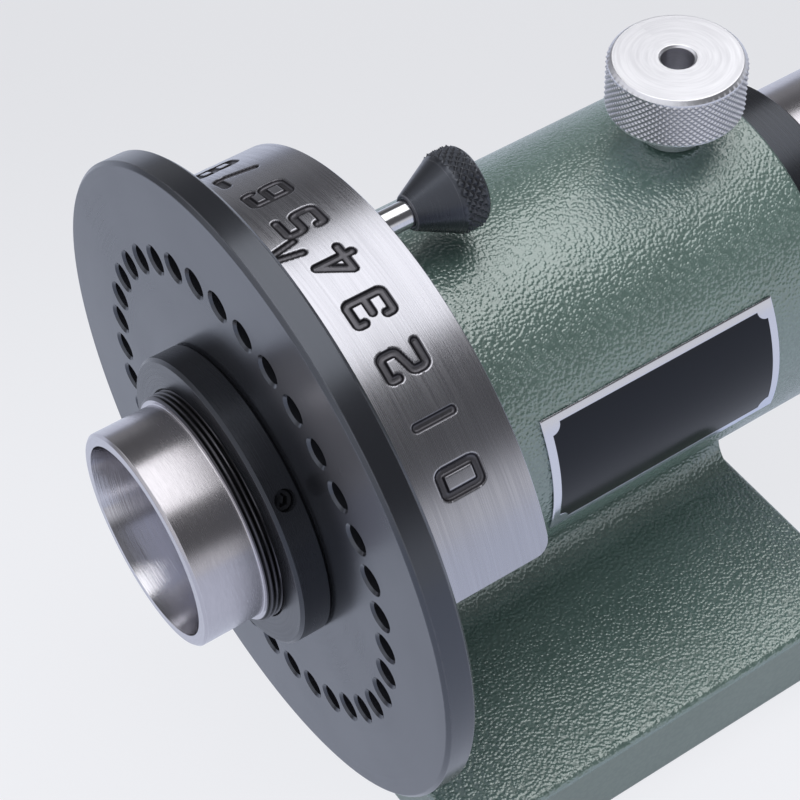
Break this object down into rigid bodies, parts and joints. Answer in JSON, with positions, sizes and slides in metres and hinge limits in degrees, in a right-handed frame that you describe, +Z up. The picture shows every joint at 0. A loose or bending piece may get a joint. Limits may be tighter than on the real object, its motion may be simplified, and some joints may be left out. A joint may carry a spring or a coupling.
{
  "type": "dividing head",
  "caption": "Collet spin index: a hollow spindle in a green cast block, with a drilled index plate, a numbered vernier ring, a loose index pin, a spindle lock and a draw tube.",
  "frame": {"origin": "middle of the base's underside, straight below the spindle", "axes": "+Z up; the spindle lies along Y with its nose towards -Y; +X is the nameplate's side"},
  "size_m": [0.127, 0.1962, 0.1335],
  "materials": {
    "green_paint": "grey-green hammered enamel on grey iron",
    "ground_steel": "turned and ground steel",
    "black_oxide": "black oxide steel",
    "bright_pin": "hardened and ground",
    "nickel": "satin nickel plate",
    "bronze": "bearing bronze",
    "brass": "turned brass",
    "plate_metal": "black printed sheet with a bare silver border",
    "draw_steel": "turned steel",
    "screw_steel": "black oxide screws"
  },
  "bodies": {
    "block": {"body_casting": "green_paint", "vernier_ring": "ground_steel", "vernier_ring_screws": "screw_steel", "vernier_ring_dowel": "bright_pin", "front_bush": "bronze", "rear_bush": "bronze", "front_thrust_washer": "bronze", "rear_thrust_washer": "bronze", "nameplate": "plate_metal"},
    "spindle": {"spindle": "ground_steel", "collet_key_screw": "screw_steel", "index_plate": "black_oxide", "plate_dowel": "bright_pin", "plate_nut": "black_oxide", "nut_set_screws": "screw_steel", "rear_collar": "black_oxide", "rear_collar_screws": "screw_steel"},
    "draw_tube": {"draw_tube": "draw_steel", "draw_tube_knob": "draw_steel", "draw_knob_screws": "screw_steel"},
    "index_pin": {"index_pin": "bright_pin", "index_pin_knob": "black_oxide"},
    "lock_pad": {"lock_pad": "brass"},
    "lock_knob": {"lock_knob": "nickel", "lock_stud": "draw_steel"}
  },
  "joints": [
    {"name": "spindle_turn", "type": "hinge", "parent": "block", "child": "spindle", "pos_m": [0, 0, 0.07], "axis": [0, 1, 0], "continuous": true},
    {"name": "draw_tube_turn", "type": "hinge", "parent": "spindle", "child": "draw_tube", "pos_m": [0, 0, 0.07], "axis": [0, 1, 0], "continuous": true},
    {"name": "index_pin_slide", "type": "slide", "parent": "block", "child": "index_pin", "axis": [0, 1, 0], "range_m": [-0.0075, 0.018]},
    {"name": "lock_pad_slide", "type": "slide", "parent": "block", "child": "lock_pad", "axis": [0, 0, 1], "range_m": [-0.0002, 0.003]},
    {"name": "lock_knob_turn", "type": "hinge", "parent": "lock_pad", "child": "lock_knob", "pos_m": [0, 0.0379, 0.07], "axis": [0, 0, 1], "range_deg": [-73, 1081]}
  ],
  "couplings": [
    {"joint": "lock_knob_turn", "follows": "lock_pad_slide", "rad_per_m": 6283.2}
  ]
}
